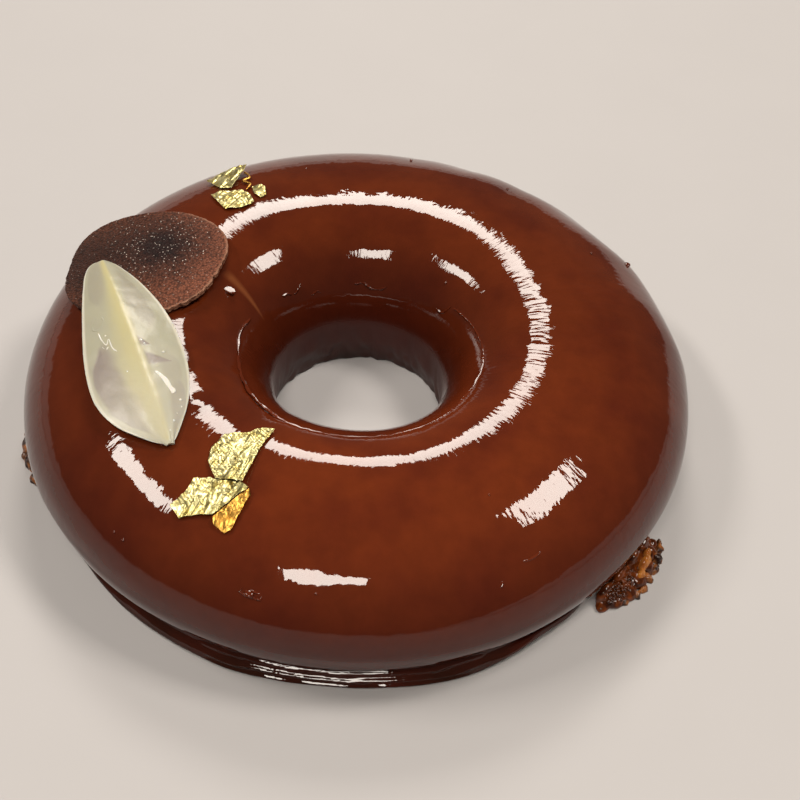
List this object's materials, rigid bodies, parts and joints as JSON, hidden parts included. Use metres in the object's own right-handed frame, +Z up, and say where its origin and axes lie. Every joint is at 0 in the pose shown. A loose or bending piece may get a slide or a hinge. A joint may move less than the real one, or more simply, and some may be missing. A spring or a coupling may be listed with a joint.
{
  "type": "ring-shaped chocolate mousse cake",
  "caption": "Ring-shaped chocolate mousse cake under a mirror glaze, on a crunchy base, with chocolate shards and gold leaf on top.",
  "frame": {"origin": "on the ring's axis, on the surface that the cake rests on", "axes": "+Z up through the hole of the ring; -Y towards the side that the picture shows in front, +X to its right"},
  "size_m": [0.2022, 0.202, 0.0496],
  "materials": {
    "mirror_glaze": "poured dark chocolate mirror glaze, very glossy",
    "praline_crunch": "rough caramelised praline crunch, glossy where the sugar shows",
    "dark_chocolate": "cocoa-dusted dark chocolate, fine grained",
    "white_chocolate": "thin white chocolate, smooth and a little translucent",
    "gold_leaf": "crumpled edible gold leaf, bright"
  },
  "bodies": {
    "root": {"glazed_ring": "mirror_glaze", "crunch_base": "praline_crunch", "dark_chocolate_oval": "dark_chocolate", "white_chocolate_leaf": "white_chocolate", "gold_leaf_front_upper": "gold_leaf", "gold_leaf_front_lower": "gold_leaf", "gold_leaf_front_fold": "gold_leaf", "gold_leaf_back_lower": "gold_leaf", "gold_leaf_back_side": "gold_leaf", "gold_leaf_back_tent": "gold_leaf"}
  },
  "joints": []
}
